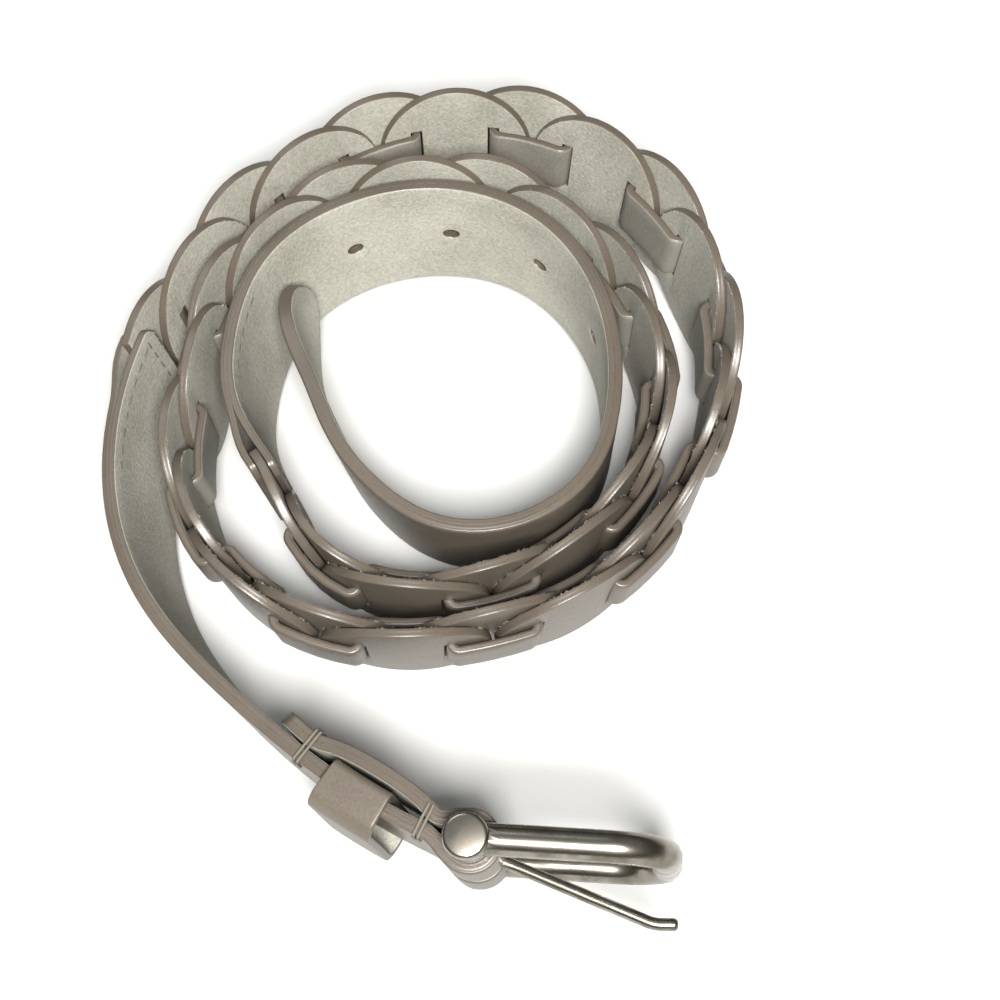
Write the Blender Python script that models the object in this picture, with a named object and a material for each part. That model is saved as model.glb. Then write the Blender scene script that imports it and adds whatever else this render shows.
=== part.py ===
"""Disc link belt, standing on its lower edge in a loose coil.

Two staggered layers of round leather discs are held by one flat lace that is
woven through slits in both. A two-ply strap with holes starts the coil inside,
and a two-ply strap with a keeper, a horseshoe buckle and a prong ends it.
Metres, +Z up, X to the right and Y away from the viewer.
"""
import math

import bmesh
import bpy
import numpy as np
from mathutils import Matrix, Vector

MM = 0.001

# Leather discs and the lace that is woven through them
DISC_DIAMETER = 29.4 * MM
DISC_SPACE = 0.6 * MM
DISC_THICKNESS = 1.6 * MM
END_DISC_REACH = 5.5 * MM
LAYER_GAP = 0.3 * MM
INNER_DISCS = 18
LACE_HEIGHT = 10.5 * MM
LACE_THICKNESS = 1.6 * MM
LACE_CLEARANCE = 0.3 * MM
LACE_BEND = 0.9 * MM

# Two-ply straps
STRAP_WIDTH = 25.0 * MM
PLY_THICKNESS = 1.2 * MM
PLY_GAP = 0.2 * MM
STEP_LENGTH = 10.0 * MM
PLY_END_SPACE = 0.3 * MM
OUTER_PLY_SETBACK = 1.0 * MM
PLY_END_ROUND = 2.5 * MM
PLY_END_FLAT = 0.8
TIP_LENGTH = 15.0 * MM
HOLE_LENGTH = 3.0 * MM
HOLE_WIDTH = 2.0 * MM
HOLE_SPACING = 19.0 * MM
FIRST_HOLE = 103.5 * MM
HOLES = 5

# Fold round the buckle's bar, its keeper and its slot
CHAIN_START = 241.5 * MM
BUCKLE_STRAP_LENGTH = 123.1 * MM
FOLD_LENGTH = 38.0 * MM
NEAR_TACK = 7.0 * MM
FAR_TACK = 30.0 * MM
FOLD_BULGE = 2.3 * MM
PRONG_SLOT = 3.4 * MM
KEEPER_WIDTH = 11.3 * MM
KEEPER_THICKNESS = 1.3 * MM
KEEPER_CENTRE = 19.8 * MM
KEEPER_ROOM = 3.2 * MM
KEEPER_CORNER = 2.2 * MM
KEEPER_CLEARANCE = 0.4 * MM

# Buckle
BAR_DIAMETER = 5.0 * MM
BAR_CLEARANCE = 0.3 * MM
ROD_DIAMETER = 5.3 * MM
ARM_CLEARANCE = 0.6 * MM
FRAME_LENGTH = 34.0 * MM
FRAME_CORNER = 9.0 * MM
CAP_DIAMETER = 7.5 * MM
CAP_HEIGHT = 1.2 * MM
FRAME_SWING = 17.5
PRONG_DIAMETER = 2.1 * MM
PRONG_CLEARANCE = 0.3 * MM
PRONG_LENGTH = 35.5 * MM
PRONG_SWING = 19.0
PRONG_TIP = 4.0 * MM
PRONG_TIP_BEND = 22.0

# Chosen points of the coiled route, walked outwards from the strap's tip:
# angle turned, distance of the leather's mid height from the coil's centre in
# millimetres, and how far the wall leans outwards
ROUTE = [
    (125, 37.0, 16), (150, 29.2, 10), (175, 22.1, 7), (200, 19.3, 9), (225, 20.0, 10),
    (250, 22.9, 10), (275, 27.6, 10), (300, 30.9, 8), (325, 32.2, 5), (350, 31.6, 2),
    (375, 32.2, 1), (400, 34.2, 3), (425, 36.4, 6), (450, 37.1, 9), (475, 37.2, 11),
    (500, 36.9, 14), (525, 34.8, 14), (550, 33.6, 12), (575, 32.4, 9), (600, 37.3, 10),
    (625, 38.5, 10), (650, 38.2, 9), (675, 38.3, 7), (700, 39.6, 5), (725, 40.2, 3),
    (750, 40.2, 2), (775, 41.5, 2), (800, 43.0, 2), (825, 43.5, 3), (850, 43.5, 4),
    (875, 43.3, 5), (900, 43.2, 7), (925, 47.6, 9), (950, 49.4, 10), (975, 48.2, 11),
    (1000, 46.3, 10), (1025, 46.6, 9), (1050, 47.6, 6), (1075, 50.0, 6), (1100, 54.0, 6),
    (1125, 56.8, 8), (1150, 58.2, 8), (1175, 56.0, 8), (1200, 52.0, 9), (1225, 49.8, 11),
    (1250, 50.3, 14), (1275, 54.8, 18), (1300, 61.6, 15), (1325, 68.7, 10), (1350, 83.5, 11),
    (1375, 103.6, 12),
]

PITCH = DISC_DIAMETER + DISC_SPACE
CHAIN_END = CHAIN_START + INNER_DISCS * PITCH
BAR_PLACE = CHAIN_END + BUCKLE_STRAP_LENGTH
STRAP_THICKNESS = 2 * PLY_THICKNESS + PLY_GAP
ARM_HEIGHT = STRAP_WIDTH / 2 + ARM_CLEARANCE + ROD_DIAMETER / 2
FRAME_HALF_HEIGHT = ARM_HEIGHT + ROD_DIAMETER / 2 + CAP_HEIGHT
RISE_LENGTH = 70.0 * MM
RUN_ON = 150.0 * MM


def spline_slopes(values):
    """Slopes of the natural cubic spline through equally spaced values."""
    count = len(values)
    matrix = 4 * np.eye(count) + np.eye(count, k=1) + np.eye(count, k=-1)
    matrix[0, 0] = 2
    matrix[-1, -1] = 2
    ahead = np.append(values[1:], values[-1])
    behind = np.append(values[0], values[:-1])
    return np.linalg.solve(matrix, 3 * (ahead - behind))


def spline(position, values, slopes):
    """Value of the spline at a position counted in points."""
    first = np.clip(np.floor(position).astype(int), 0, len(values) - 2)
    t = position - first
    low, high = values[first], values[first + 1]
    low_slope, high_slope = slopes[first], slopes[first + 1]
    return (low * (1 + 2 * t) * (1 - t) ** 2 + high * t * t * (3 - 2 * t)
            + low_slope * t * (1 - t) ** 2 - high_slope * t * t * (1 - t))


TURNS, RADII, LEANS = (np.array(column, dtype=float) for column in zip(*ROUTE))
SAMPLES_PER_POINT = 25
samples = np.linspace(0, len(ROUTE) - 1, (len(ROUTE) - 1) * SAMPLES_PER_POINT + 1)
turn = np.radians(TURNS[0] + (TURNS[1] - TURNS[0]) * samples)
radius = spline(samples, RADII, spline_slopes(RADII)) * MM
sample_x = radius * np.cos(turn)
sample_y = radius * np.sin(turn)
sample_lean = np.radians(spline(samples, LEANS, spline_slopes(LEANS)))

# Past the last row of the route the strap runs on straight
last_way = np.array([sample_x[-1] - sample_x[-2], sample_y[-1] - sample_y[-2]])
last_way /= np.hypot(*last_way)
sample_x = np.append(sample_x, sample_x[-1] + RUN_ON * last_way[0])
sample_y = np.append(sample_y, sample_y[-1] + RUN_ON * last_way[1])
sample_lean = np.append(sample_lean, sample_lean[-1])
turn = np.append(turn, turn[-1] + 1)
sample_along = np.append(0, np.cumsum(np.hypot(np.diff(sample_x), np.diff(sample_y))))
TIP_START = float(np.interp(math.radians(136), turn, sample_along))


def route_at(along):
    """Plan place, heading and lean of the wall at a length from the tip."""
    here = along + TIP_START
    x = np.interp(here, sample_along, sample_x)
    y = np.interp(here, sample_along, sample_y)
    step = 1.5 * MM
    heading = np.arctan2(np.interp(here + step, sample_along, sample_y)
                         - np.interp(here - step, sample_along, sample_y),
                         np.interp(here + step, sample_along, sample_x)
                         - np.interp(here - step, sample_along, sample_x))
    lean = np.interp(here, sample_along, sample_lean)
    return x, y, heading, lean


def place(along, height, outward):
    """World point at a length along the belt, a height up its leaning wall and
    a distance out of the wall's middle surface."""
    x, y, heading, lean = route_at(along)
    side = height * math.sin(lean) + outward * math.cos(lean)
    rise = min(max((along - BAR_PLACE + RISE_LENGTH) / RISE_LENGTH, 0), 1)
    lift = (FRAME_HALF_HEIGHT - DISC_DIAMETER / 2) * rise * rise * (3 - 2 * rise)
    up = (DISC_DIAMETER / 2 + lift + height) * math.cos(lean) - outward * math.sin(lean)
    return Vector((x + math.sin(heading) * side, y - math.cos(heading) * side, up))


def material(name, colour, roughness, metallic=0.0):
    """Plain surface with a linear colour."""
    made = bpy.data.materials.new(name)
    made.use_nodes = True
    shader = made.node_tree.nodes["Principled BSDF"]
    shader.inputs["Base Color"].default_value = (*colour, 1)
    shader.inputs["Roughness"].default_value = roughness
    shader.inputs["Metallic"].default_value = metallic
    return made


def finish(shape, name, surface, smooth_angle=35):
    """Turn a bmesh into a named object with outward faces."""
    bmesh.ops.remove_doubles(shape, verts=shape.verts, dist=0.001 * MM)
    bmesh.ops.recalc_face_normals(shape, faces=shape.faces)
    bmesh.ops.triangulate(shape, faces=[face for face in shape.faces if len(face.verts) > 4])
    mesh = bpy.data.meshes.new(name)
    shape.to_mesh(mesh)
    shape.free()
    mesh.shade_smooth()
    mesh.set_sharp_from_angle(angle=math.radians(smooth_angle))
    made = bpy.data.objects.new(name, mesh)
    mesh.materials.append(surface)
    bpy.context.scene.collection.objects.link(made)
    return made


def plate(name, columns, surface):
    """Closed leather plate.

    Each column is a dictionary: the (along, outward) place of its two skins,
    its lowest and highest edge, and the low and high side of an opening that
    is cut between it and the next column where its open value is true.
    """
    shape = bmesh.new()
    rings = []
    for column in columns:
        heights = (column["bottom"], column["low"], column["high"], column["top"])
        skins = []
        for along, outward in column["skins"]:
            made = {}
            for height in heights:
                if height not in made:
                    made[height] = shape.verts.new(place(along, height, outward))
            skins.append([made[height] for height in heights])
        rings.append(skins)

    def face(*corners):
        distinct = list(dict.fromkeys(corners))
        if len(distinct) > 2:
            shape.faces.new(distinct)

    last = len(columns) - 1
    for number in range(last):
        (near_out, near_in), (far_out, far_in) = rings[number], rings[number + 1]
        is_open = columns[number]["open"]
        for row in range(3):
            if row == 1 and is_open:
                continue
            face(near_out[row], far_out[row], far_out[row + 1], near_out[row + 1])
            face(near_in[row], near_in[row + 1], far_in[row + 1], far_in[row])
        face(near_out[0], near_in[0], far_in[0], far_out[0])
        face(near_out[3], far_out[3], far_in[3], near_in[3])
        if is_open:
            face(near_out[1], far_out[1], far_in[1], near_in[1])
            face(near_out[2], near_in[2], far_in[2], far_out[2])
    for number, (out, inner) in enumerate(rings):
        opens_after = columns[number]["open"] if number < last else False
        opens_before = columns[number - 1]["open"] if number else False
        if opens_after != opens_before:
            face(out[1], inner[1], inner[2], out[2])
        if number in (0, last):
            for row in range(3):
                face(out[row], out[row + 1], inner[row + 1], inner[row])
    return finish(shape, name, surface)


def plate_column(place_out, place_in, bottom, top, opening=None, is_open=False):
    """One column of a plate, with an opening or a plain middle."""
    low, high = opening if opening else ((bottom + top) / 2,) * 2
    return {"skins": (place_out, place_in), "bottom": bottom, "top": top,
            "low": low, "high": high, "open": is_open}


def disc(name, centre, inner_face, surface, cut_side=0):
    """Round disc with two upright slits, a quarter of its pitch from centre.

    The disc that a strap holds has its hidden side cut off short of the slit.
    """
    disc_radius = DISC_DIAMETER / 2
    slit_half = LACE_THICKNESS / 2 + LACE_CLEARANCE
    slit_height = LACE_HEIGHT / 2 + LACE_CLEARANCE
    outer_face = inner_face + DISC_THICKNESS
    half = []
    for degrees in (9, 31):
        angle = math.radians(degrees)
        half.append((-disc_radius * math.cos(angle), False, False))
    half.append((-PITCH / 4 - slit_half, True, True))
    half.append((-PITCH / 4 + slit_half, True, False))
    half.append((-disc_radius * math.cos(math.radians(82)), False, False))
    mirrored = []
    for index, (along, slit, _) in reversed(list(enumerate(half))):
        mirrored.append((-along, slit, index == 3))
    stations = half + mirrored
    if cut_side:
        reach = (cut_side * END_DISC_REACH, False, False)
        stations = sorted([station for station in stations
                           if station[0] * cut_side < END_DISC_REACH] + [reach])
    columns = []
    for along, slit, is_open in stations:
        edge = math.sqrt(disc_radius ** 2 - along ** 2)
        opening = (-slit_height, slit_height) if slit else None
        columns.append(plate_column((centre + along, outer_face), (centre + along, inner_face),
                                    -edge, edge, opening, is_open))
    return plate(name, columns, surface)


def band_columns(path, inner_offset, outer_offset):
    """Skins of a band that follows a path of (along, outward) points, offset
    to the left and right of its middle line."""
    points = np.array(path)
    headings = np.gradient(points, axis=0)
    headings /= np.linalg.norm(headings, axis=1)[:, None]
    normals = np.stack([-headings[:, 1], headings[:, 0]], axis=1)
    outer = points + normals * outer_offset
    inner = points + normals * inner_offset
    return [(tuple(map(float, a)), tuple(map(float, b))) for a, b in zip(outer, inner)]


def lace_path():
    """Middle line of the lace, in and out through every slit."""
    level = LAYER_GAP / 2 + DISC_THICKNESS + LACE_CLEARANCE + LACE_THICKNESS / 2
    path = []
    crossings = 2 * INNER_DISCS
    for crossing in range(crossings):
        slit = CHAIN_START + (crossing + 0.5) * PITCH / 2
        before = -level if crossing % 2 == 0 else level
        flush = LAYER_GAP / 2 + DISC_THICKNESS
        if crossing == 0:
            path.append((slit, -flush))
        for degrees in (0, 45, 90) if crossing else ():
            angle = math.radians(degrees)
            path.append((slit - LACE_BEND * (1 - math.sin(angle)),
                         before * (1 - LACE_BEND / level * (1 - math.cos(angle)))))
        if crossing == crossings - 1:
            path.append((slit, -flush))
            break
        for degrees in (90, 45, 0):
            angle = math.radians(degrees)
            path.append((slit + LACE_BEND * (1 - math.sin(angle)),
                         -before * (1 - LACE_BEND / level * (1 - math.cos(angle)))))
        for share in (1 / 3, 2 / 3):
            path.append((slit + share * PITCH / 2, -before))
    return path


def swept_band(name, skins, half_height, surface):
    """Band of constant height along paired skins."""
    columns = [plate_column(out, inner, -half_height, half_height) for out, inner in skins]
    return plate(name, columns, surface)


def tip_edge(distance):
    """Half width of the strap at a distance from its rounded tip."""
    share = min(max(distance / TIP_LENGTH, 0), 1)
    return STRAP_WIDTH / 2 * math.sqrt(1 - (1 - share) ** 2) ** 1.15


def ply_end_edge(distance):
    """Half width of a ply at a distance from its gently rounded chain end."""
    share = min(max(distance / PLY_END_ROUND, 0), 1)
    return STRAP_WIDTH / 2 * math.sqrt(1 - (1 - PLY_END_FLAT ** 2) * (1 - share) ** 2)


def strap_steps(start, end, longest=6 * MM):
    """Evenly spaced lengths from start to end."""
    count = max(1, math.ceil(abs(end - start) / longest))
    return list(np.linspace(start, end, count + 1))


PLY_LEVEL = PLY_GAP / 2 + PLY_THICKNESS / 2
OUTER_PLY_OVER_DISC = LAYER_GAP / 2 + DISC_THICKNESS + LAYER_GAP + PLY_THICKNESS / 2
INNER_PLY_BY_DISC = -(LAYER_GAP + PLY_THICKNESS) / 2


def ply_level(is_outer, beyond_disc, from_end):
    """Level of a ply: the outer one lies on the last outer disc and comes down
    to its partner beyond it, the inner one lies level with the inner discs."""
    if not is_outer:
        share = min(max(from_end / STEP_LENGTH, 0), 1)
        return INNER_PLY_BY_DISC + (-PLY_LEVEL - INNER_PLY_BY_DISC) * share
    share = min(max(beyond_disc / STEP_LENGTH, 0), 1)
    eased = share * share * (3 - 2 * share)
    return OUTER_PLY_OVER_DISC + (PLY_LEVEL - OUTER_PLY_OVER_DISC) * eased


END_STATIONS = (0, 0.1, 0.3, 0.6, 1)


def billet_columns(is_outer):
    """Columns of one ply of the strap with the holes."""
    disc_edge = CHAIN_START - END_DISC_REACH - LAYER_GAP
    chain_side = CHAIN_START - PLY_END_SPACE - (OUTER_PLY_SETBACK if is_outer else 0)
    stations = {share * TIP_LENGTH: "" for share in (0.02, 0.08, 0.23, 0.53, 1)}
    cursor = TIP_LENGTH
    for hole in range(HOLES):
        centre = FIRST_HOLE + hole * HOLE_SPACING
        for along in strap_steps(cursor, centre - HOLE_LENGTH / 2)[1:-1]:
            stations[along] = ""
        stations[centre - HOLE_LENGTH / 2] = "start"
        stations[centre - HOLE_LENGTH / 4] = "wide"
        stations[centre + HOLE_LENGTH / 4] = "wide"
        cursor = centre + HOLE_LENGTH / 2
        stations[cursor] = ""
    for along in strap_steps(cursor, chain_side - PLY_END_ROUND)[1:-1]:
        stations[along] = ""
    for share in END_STATIONS:
        stations[chain_side - share * PLY_END_ROUND] = ""
    columns = []
    for along, kind in sorted(stations.items()):
        level = ply_level(is_outer, disc_edge - along, chain_side - along)
        half = min(tip_edge(along), ply_end_edge(chain_side - along))
        opening = (-HOLE_WIDTH / 2, HOLE_WIDTH / 2) if kind == "wide" else None
        columns.append(plate_column((along, level + PLY_THICKNESS / 2),
                                    (along, level - PLY_THICKNESS / 2),
                                    -half, half, opening, kind != ""))
    return columns


def fold_path():
    """Middle line of the folded strap: up to the bar, round it and back."""
    wrap = BAR_DIAMETER / 2 + BAR_CLEARANCE + STRAP_THICKNESS / 2
    touch = STRAP_THICKNESS + LAYER_GAP
    bar_level = -touch / 2
    path = []
    for along in strap_steps(CHAIN_END, BAR_PLACE - NEAR_TACK):
        path.append((along, 0.0))
    for share in (0.2, 0.45, 0.72):
        eased = share * share * (3 - 2 * share)
        path.append((BAR_PLACE - NEAR_TACK * (1 - share), (bar_level + wrap) * eased))
    for degrees in range(100, -101, -20):
        angle = math.radians(degrees)
        path.append((BAR_PLACE + wrap * math.cos(angle), bar_level + wrap * math.sin(angle)))
    back = bar_level - wrap
    for share in (0.72, 0.45, 0.2, 0):
        eased = share * share * (3 - 2 * share)
        path.append((BAR_PLACE - NEAR_TACK * (1 - share), -touch + (back + touch) * eased))
    for share in (0.06, 0.15, 0.3, 0.5, 0.7, 0.85, 0.94, 1):
        bulge = math.sin(math.pi * share) ** 0.5
        path.append((BAR_PLACE - NEAR_TACK - share * (FAR_TACK - NEAR_TACK),
                     -touch - FOLD_BULGE * bulge))
    for share in (0.35, 0.7, 0.9, 1):
        path.append((BAR_PLACE - FAR_TACK - share * (FOLD_LENGTH - FAR_TACK), -touch - 0.5 * MM * share))
    return path


def bar_centre():
    """Place of the bar's axis on the belt, as along and outward."""
    return BAR_PLACE, -(STRAP_THICKNESS + LAYER_GAP) / 2


def buckle_ply_columns(is_outer):
    """Columns of one ply of the folded strap."""
    disc_edge = CHAIN_END + END_DISC_REACH + LAYER_GAP
    chain_side = CHAIN_END + PLY_END_SPACE + (OUTER_PLY_SETBACK if is_outer else 0)
    straight_end = disc_edge + STEP_LENGTH
    path = [point for point in fold_path() if point[0] > straight_end]
    lead = [chain_side + share * PLY_END_ROUND for share in END_STATIONS]
    lead += strap_steps(lead[-1], path[0][0], 4.5 * MM)[1:-1]
    path = [(float(along), 0.0) for along in lead] + path
    offset = PLY_LEVEL if is_outer else -PLY_LEVEL
    skins = band_columns(path, offset - PLY_THICKNESS / 2, offset + PLY_THICKNESS / 2)
    fold_end = BAR_PLACE - FOLD_LENGTH
    columns = []
    for (along, level), skin_pair in zip(path, skins):
        is_main = level == 0.0
        half = STRAP_WIDTH / 2
        shift = 0
        if is_main:
            half = ply_end_edge(along - chain_side)
            shift = ply_level(is_outer, along - disc_edge, along - chain_side) - offset
        else:
            half = ply_end_edge(along - fold_end)
        out, inner = ((skin[0], skin[1] + shift) for skin in skin_pair)
        in_fold = abs(along - BAR_PLACE) < NEAR_TACK * 0.82
        opening = (-PRONG_SLOT / 2, PRONG_SLOT / 2) if in_fold else None
        columns.append(plate_column(out, inner, -half, half, opening, in_fold))
    last_open = max(number for number, column in enumerate(columns) if column["open"])
    columns[last_open]["open"] = False
    return columns


def keeper(surface):
    """Closed leather band round the outer layer of the folded strap."""
    high = STRAP_WIDTH / 2 + KEEPER_CLEARANCE
    near = STRAP_THICKNESS / 2 + LAYER_GAP
    far = STRAP_THICKNESS / 2 + KEEPER_ROOM
    corner = KEEPER_CORNER

    def ring(grow):
        outline = []
        centres = ((high, far, 0), (-high, far, 90), (-high, -near, 180), (high, -near, 270))
        for height, outward, first in centres:
            round_off = corner if outward > 0 else 0.3 * MM
            middle = (height - math.copysign(round_off, height),
                      outward - math.copysign(round_off, outward))
            for degrees in (first, first + 45, first + 90):
                angle = math.radians(degrees)
                outline.append((middle[0] + (round_off + grow) * math.cos(angle),
                                middle[1] + (round_off + grow) * math.sin(angle)))
        return outline

    shape = bmesh.new()
    loops = []
    stations = np.linspace(BAR_PLACE - KEEPER_CENTRE - KEEPER_WIDTH / 2,
                           BAR_PLACE - KEEPER_CENTRE + KEEPER_WIDTH / 2, 4)
    for along in stations:
        loops.append([[shape.verts.new(place(along, height, outward)) for height, outward in ring(grow)]
                      for grow in (0, KEEPER_THICKNESS)])
    count = len(loops[0][0])
    for number in range(count):
        follow = (number + 1) % count
        for start, end in zip(loops, loops[1:]):
            shape.faces.new((start[1][number], start[1][follow], end[1][follow], end[1][number]))
            shape.faces.new((start[0][number], end[0][number], end[0][follow], start[0][follow]))
        for loop in (loops[0], loops[-1]):
            shape.faces.new((loop[0][number], loop[0][follow], loop[1][follow], loop[1][number]))
    return finish(shape, "keeper", surface)


def bar_frame():
    """World matrix of the bar: Z up the bar, X along the belt's heading."""
    along, outward = bar_centre()
    middle = place(along, 0, outward)
    up = (place(along, STRAP_WIDTH / 2, outward) - middle).normalized()
    heading = route_at(along)[2]
    forward = Vector((math.cos(heading), math.sin(heading), 0))
    side = up.cross(forward).normalized()
    forward = side.cross(up)
    return Matrix((forward, side, up)).transposed().to_4x4(), middle


def tube(shape, points, radius, sides, closed=False):
    """Round rod through points, with flat ends unless it is closed."""
    rings = []
    count = len(points)
    normal = None
    for number, point in enumerate(points):
        before = points[(number - 1) % count] if closed or number else point
        after = points[(number + 1) % count] if closed or number < count - 1 else point
        tangent = (after - before).normalized()
        if normal is None:
            normal = tangent.orthogonal().normalized()
        normal = (normal - tangent * normal.dot(tangent)).normalized()
        across = tangent.cross(normal)
        rings.append([shape.verts.new(point + (normal * math.cos(2 * math.pi * side / sides)
                                               + across * math.sin(2 * math.pi * side / sides)) * radius)
                      for side in range(sides)])
    pairs = list(zip(rings, rings[1:]))
    if closed:
        pairs.append((rings[-1], rings[0]))
    for start, end in pairs:
        for side in range(sides):
            follow = (side + 1) % sides
            shape.faces.new((start[side], start[follow], end[follow], end[side]))
    if not closed:
        shape.faces.new(rings[0][::-1])
        shape.faces.new(rings[-1])


def cylinder_object(name, bottom, top, radius, sides):
    """Upright rod between two heights on the bar's axis."""
    shape = bmesh.new()
    tube(shape, [Vector((0, 0, bottom)), Vector((0, 0, top))], radius, sides)
    mesh = bpy.data.meshes.new(name)
    bmesh.ops.recalc_face_normals(shape, faces=shape.faces)
    shape.to_mesh(mesh)
    shape.free()
    made = bpy.data.objects.new(name, mesh)
    bpy.context.scene.collection.objects.link(made)
    return made


def join_solids(base, others):
    """Fuse solids into the first by exact Boolean union."""
    for other in others:
        union = base.modifiers.new("union", "BOOLEAN")
        union.operation = "UNION"
        union.solver = "EXACT"
        union.object = other
    bpy.context.view_layer.update()
    fused = bpy.data.meshes.new_from_object(base.evaluated_get(bpy.context.evaluated_depsgraph_get()))
    base.modifiers.clear()
    base.data = fused
    for other in others:
        bpy.data.objects.remove(other)


def buckle_frame(surface):
    """Horseshoe rod, upright bar and its two flat caps, soldered together."""
    shape = bmesh.new()
    corner = FRAME_CORNER
    points = [Vector((0, 0, ARM_HEIGHT)), Vector((FRAME_LENGTH * 0.4, 0, ARM_HEIGHT))]
    end = FRAME_LENGTH - ROD_DIAMETER / 2 - corner
    for degrees in (90, 67.5, 45, 22.5, 0):
        angle = math.radians(degrees)
        points.append(Vector((end + corner * math.cos(angle), 0,
                              ARM_HEIGHT - corner + corner * math.sin(angle))))
    points += [Vector((point.x, 0, -point.z)) for point in reversed(points)]
    tube(shape, points, ROD_DIAMETER / 2, 12)
    frame = finish(shape, "buckle_frame", surface)
    bar = cylinder_object("bar", -ARM_HEIGHT, ARM_HEIGHT, BAR_DIAMETER / 2, 14)
    caps = []
    for sign in (-1, 1):
        low, high = sorted((sign * (ARM_HEIGHT - ROD_DIAMETER / 2), sign * FRAME_HALF_HEIGHT))
        caps.append(cylinder_object("cap", low, high, CAP_DIAMETER / 2, 20))
    join_solids(frame, [bar] + caps)
    return frame


def prong(surface):
    """Round wire bent into a closed eye round the bar, with a kicked-up tip."""
    shape = bmesh.new()
    wire = PRONG_DIAMETER / 2
    eye = BAR_DIAMETER / 2 + PRONG_CLEARANCE + wire
    ring = [Vector((eye * math.cos(angle), eye * math.sin(angle), 0))
            for angle in np.linspace(0, 2 * math.pi, 16, endpoint=False)]
    tube(shape, ring, wire, 8, closed=True)
    made = finish(shape, "prong", surface)
    rod = bmesh.new()
    bend = math.radians(PRONG_TIP_BEND)
    straight = PRONG_LENGTH - PRONG_TIP
    tube(rod, [Vector((eye, 0, 0)), Vector((straight * 0.5, 0, 0)), Vector((straight, 0, 0)),
               Vector((straight + PRONG_TIP * math.cos(bend), PRONG_TIP * math.sin(bend), 0))], wire, 8)
    bmesh.ops.recalc_face_normals(rod, faces=rod.faces)
    mesh = bpy.data.meshes.new("rod")
    rod.to_mesh(mesh)
    rod.free()
    other = bpy.data.objects.new("rod", mesh)
    bpy.context.scene.collection.objects.link(other)
    join_solids(made, [other])
    return made


def turn_on_bar(piece, swing):
    """Stand a buckle piece on the bar's axis, swung about it."""
    turned, middle = bar_frame()
    piece.matrix_world = Matrix.Translation(middle) @ turned @ Matrix.Rotation(math.radians(swing), 4, "Z")


for old in list(bpy.data.objects):
    bpy.data.objects.remove(old)

grain_leather = material("taupe_grain_leather", (0.26, 0.23, 0.20), 0.55)
flesh_leather = material("pale_flesh_leather", (0.58, 0.56, 0.48), 0.85)
lace_leather = material("lace_leather", (0.22, 0.20, 0.17), 0.6)
nickel = material("nickel", (0.55, 0.53, 0.50), 0.25, 1.0)

for number in range(INNER_DISCS + 1):
    cut_side = -1 if number == 0 else int(number == INNER_DISCS)
    disc(f"outer_disc_{number + 1:02d}", CHAIN_START + number * PITCH, LAYER_GAP / 2,
         grain_leather, cut_side)
for number in range(INNER_DISCS):
    disc(f"inner_disc_{number + 1:02d}", CHAIN_START + (number + 0.5) * PITCH,
         -LAYER_GAP / 2 - DISC_THICKNESS, flesh_leather)
swept_band("lace", band_columns(lace_path(), -LACE_THICKNESS / 2, LACE_THICKNESS / 2),
           LACE_HEIGHT / 2, lace_leather)
plate("billet_outer_ply", billet_columns(True), grain_leather)
plate("billet_inner_ply", billet_columns(False), flesh_leather)
plate("buckle_strap_outer_ply", buckle_ply_columns(True), grain_leather)
plate("buckle_strap_inner_ply", buckle_ply_columns(False), flesh_leather)
keeper(grain_leather)
turn_on_bar(buckle_frame(nickel), FRAME_SWING)
turn_on_bar(prong(nickel), FRAME_SWING - PRONG_SWING)

# The coil's box stands on the floor, centred on the origin
bpy.context.view_layer.update()
corners = np.array([piece.matrix_world @ vertex.co for piece in bpy.data.objects
                    for vertex in piece.data.vertices])
low, high = corners.min(axis=0), corners.max(axis=0)
shift = Matrix.Translation((-(low[0] + high[0]) / 2, -(low[1] + high[1]) / 2, -low[2]))
for piece in bpy.data.objects:
    if piece.matrix_world == Matrix.Identity(4):
        piece.data.transform(shift)
    else:
        piece.matrix_world = shift @ piece.matrix_world
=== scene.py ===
"""Looks of the disc link belt: a coiled leather belt of two staggered layers of
discs, held by one woven lace, with a holed strap, a keeper and a horseshoe buckle.
"""

import math

import bpy
import numpy as np
from mathutils import Matrix, Vector


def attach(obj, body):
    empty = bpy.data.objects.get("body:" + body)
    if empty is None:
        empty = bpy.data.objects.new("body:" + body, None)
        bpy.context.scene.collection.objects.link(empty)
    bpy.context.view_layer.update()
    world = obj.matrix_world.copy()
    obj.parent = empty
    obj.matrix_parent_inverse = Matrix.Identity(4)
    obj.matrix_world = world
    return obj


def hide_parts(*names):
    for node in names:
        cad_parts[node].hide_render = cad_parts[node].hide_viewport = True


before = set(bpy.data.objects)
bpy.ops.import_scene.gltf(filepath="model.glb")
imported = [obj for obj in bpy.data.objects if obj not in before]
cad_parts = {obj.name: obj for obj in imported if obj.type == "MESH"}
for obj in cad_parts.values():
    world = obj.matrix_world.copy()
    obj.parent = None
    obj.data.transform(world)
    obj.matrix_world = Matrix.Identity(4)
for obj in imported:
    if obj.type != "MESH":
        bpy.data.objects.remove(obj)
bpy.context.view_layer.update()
bpy.context.scene.view_settings.view_transform = "Standard"


# Camera: a portrait lens looks down on the coil at 64.5 degrees from 436 mm
# away, as a hand-held picture of a belt on a table is taken.
COIL_CENTRE = Vector((0.0014, 0.018906, 0.000443))
CAMERA_DISTANCE = 0.436
look_at = COIL_CENTRE + Vector((0.01148, -0.01256, 0))
down = math.radians(64.5)
bpy.ops.object.camera_add(
    location=look_at + Vector((0, -CAMERA_DISTANCE * math.cos(down), CAMERA_DISTANCE * math.sin(down))),
    rotation=(math.pi / 2 - down, 0, 0))
camera = bpy.context.object
camera.name = "camera"
camera.data.lens = 85
camera.data.sensor_width = 36
bpy.context.scene.camera = camera


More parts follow.
